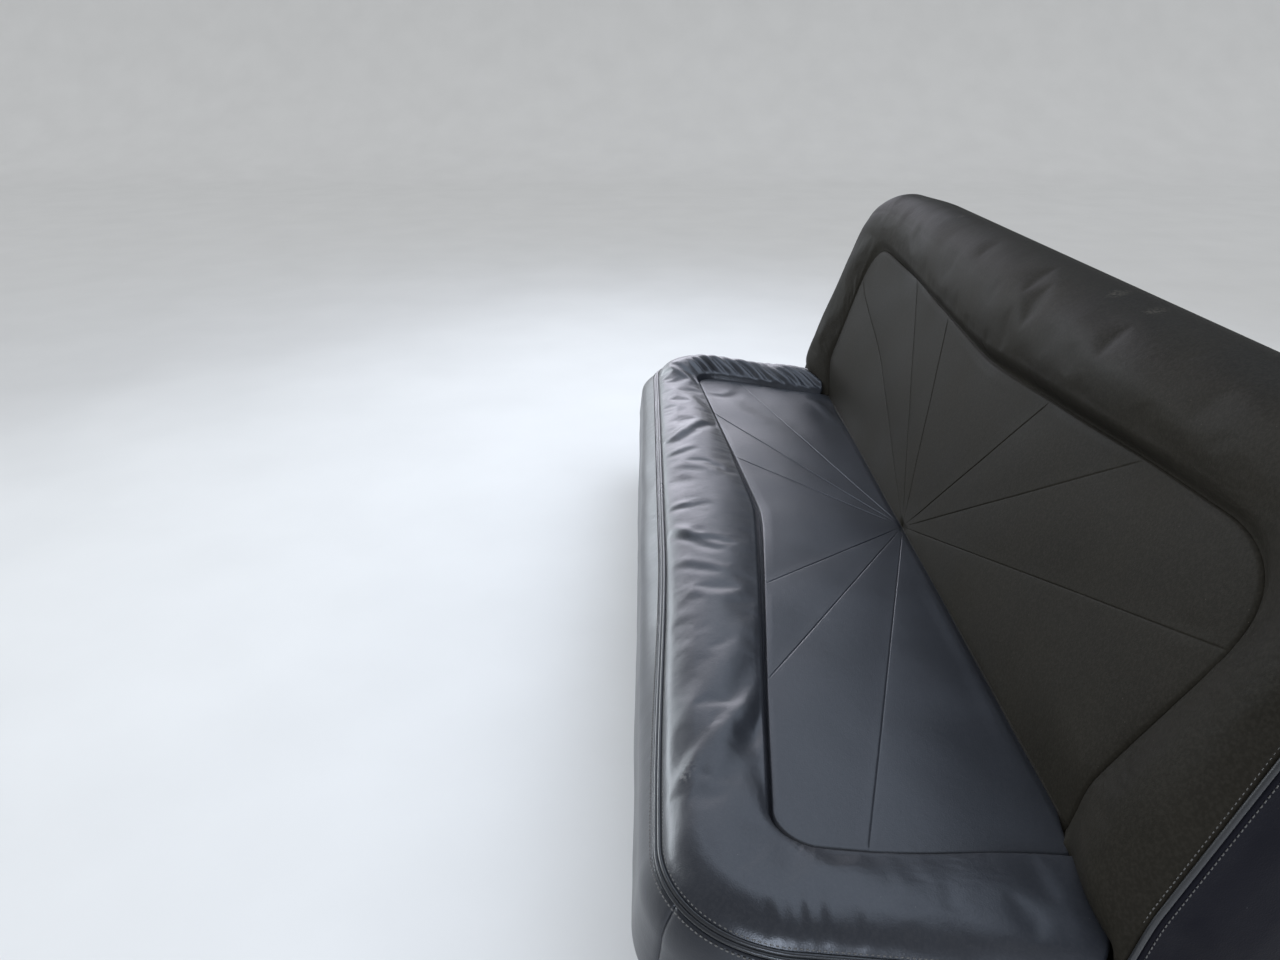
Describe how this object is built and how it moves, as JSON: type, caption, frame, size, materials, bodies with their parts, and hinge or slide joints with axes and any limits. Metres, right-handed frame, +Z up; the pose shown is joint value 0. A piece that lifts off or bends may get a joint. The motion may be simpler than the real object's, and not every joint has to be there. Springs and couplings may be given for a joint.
{
  "type": "limousine side bench seat",
  "caption": "Long leather side bench with a leaning back and a radial fan of sewn seams, on a plywood base box with steel fixing angles.",
  "frame": {"origin": "middle of the bench's box in plan, on the floor", "axes": "+X along the bench to the near end of the picture, -Y out of the front, +Z up"},
  "size_m": [2.01, 0.7788, 0.812],
  "materials": {
    "leather": "satin",
    "piping": "satin",
    "base_trim": "matte",
    "plywood": "matte",
    "zinc_steel": "satin"
  },
  "bodies": {
    "root": {"back_board": "plywood", "back_border": "leather", "back_gusset_1": "plywood", "back_gusset_2": "plywood", "back_gusset_3": "plywood", "back_gusset_4": "plywood", "back_inset": "leather", "back_side_far": "leather", "back_side_near": "leather", "back_welt_far": "piping", "back_welt_near": "piping", "base_corner_blocks": "plywood", "base_corner_far": "base_trim", "base_corner_near": "base_trim", "base_end_far": "base_trim", "base_end_near": "base_trim", "base_front": "base_trim", "base_rear": "plywood", "base_rib_1": "plywood", "base_rib_2": "plywood", "base_rib_3": "plywood", "boxing_far": "leather", "boxing_front": "leather", "boxing_near": "leather", "floor_angle_far_front": "zinc_steel", "floor_angle_far_rear": "zinc_steel", "floor_angle_near_front": "zinc_steel", "floor_angle_near_rear": "zinc_steel", "seat_board": "plywood", "seat_border": "leather", "seat_inset": "leather", "seat_welt": "piping", "wall_angle_far": "zinc_steel", "wall_angle_near": "zinc_steel"}
  },
  "joints": []
}
